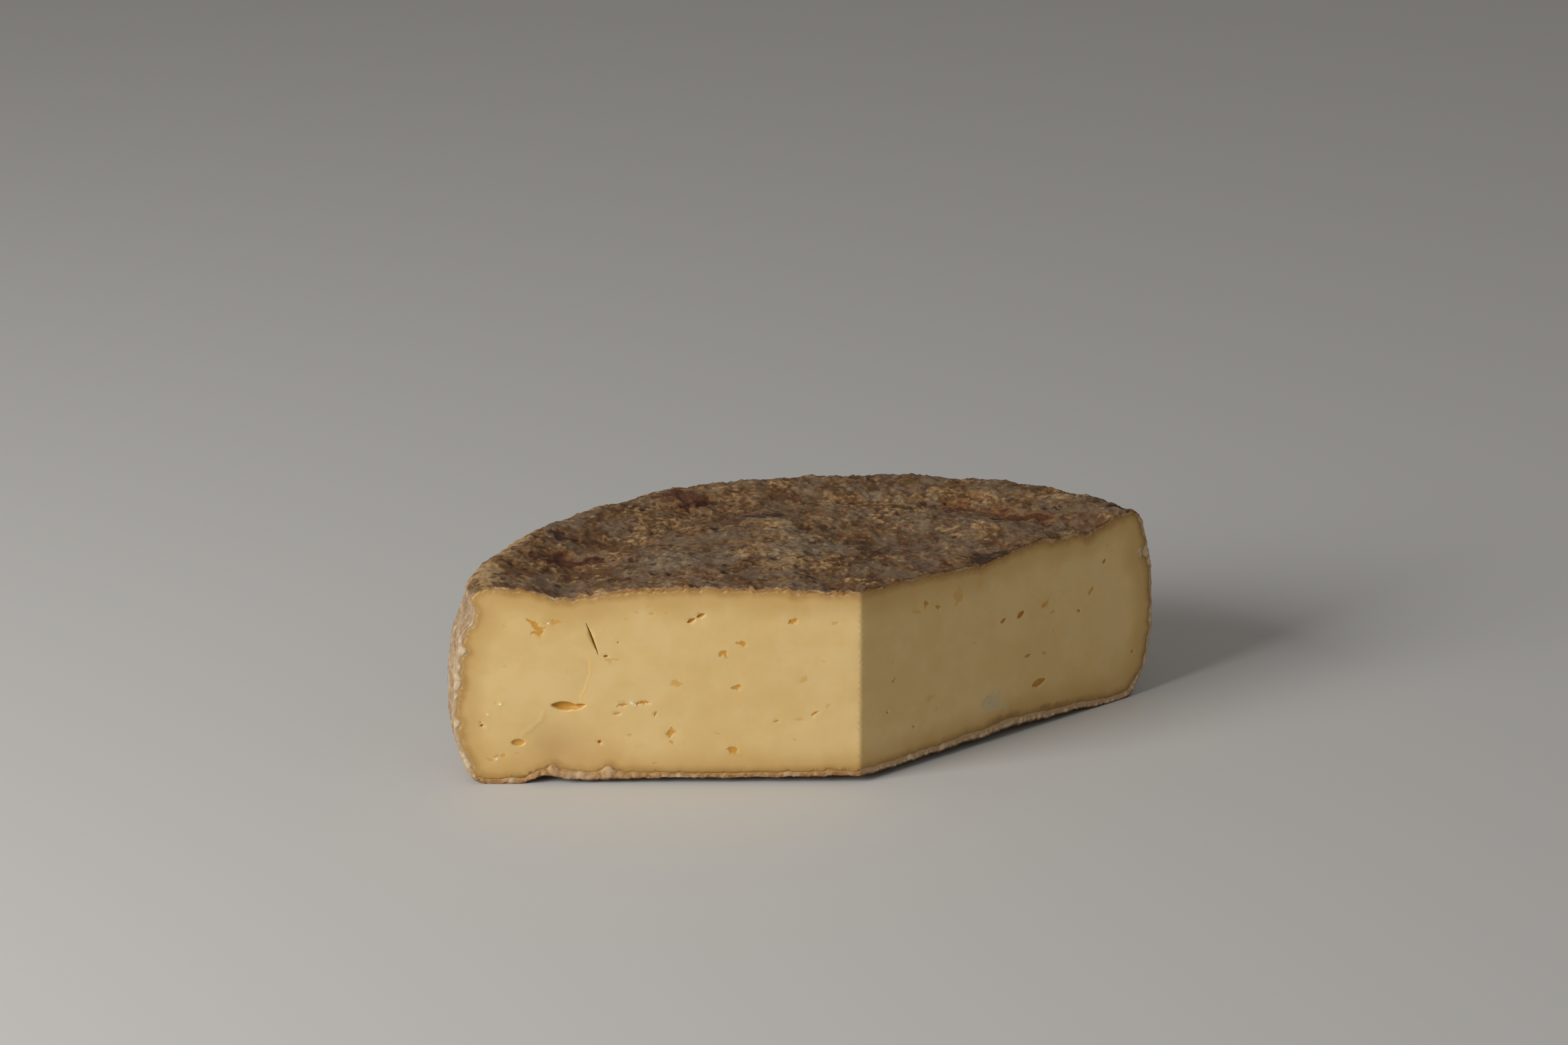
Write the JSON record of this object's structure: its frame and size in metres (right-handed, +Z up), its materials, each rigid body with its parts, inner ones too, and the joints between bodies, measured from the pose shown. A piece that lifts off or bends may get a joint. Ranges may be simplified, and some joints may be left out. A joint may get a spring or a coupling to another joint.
{
  "type": "tomme cheese",
  "caption": "Cut part of a round pressed cheese with a crusty grey-brown natural rind; flat cut faces show pale yellow paste with small eyes and cracks.",
  "frame": {"origin": "middle of the bounding box, at the level of the board it rests on", "axes": "+Z up; the left cut face looks along -Y and its rim end points to -X; the right cut face runs from the wheel's axis towards +X and +Y"},
  "size_m": [0.1928, 0.1068, 0.0555],
  "materials": {
    "paste": "pale yellow cheese paste, smooth and faintly waxy where the knife went, darker ochre just under the rind",
    "rind": "dry crusty natural rind, mottled brown, ochre, grey and maroon, powdery grey on the side"
  },
  "bodies": {
    "root": {"cut_tomme": "paste"}
  },
  "joints": []
}
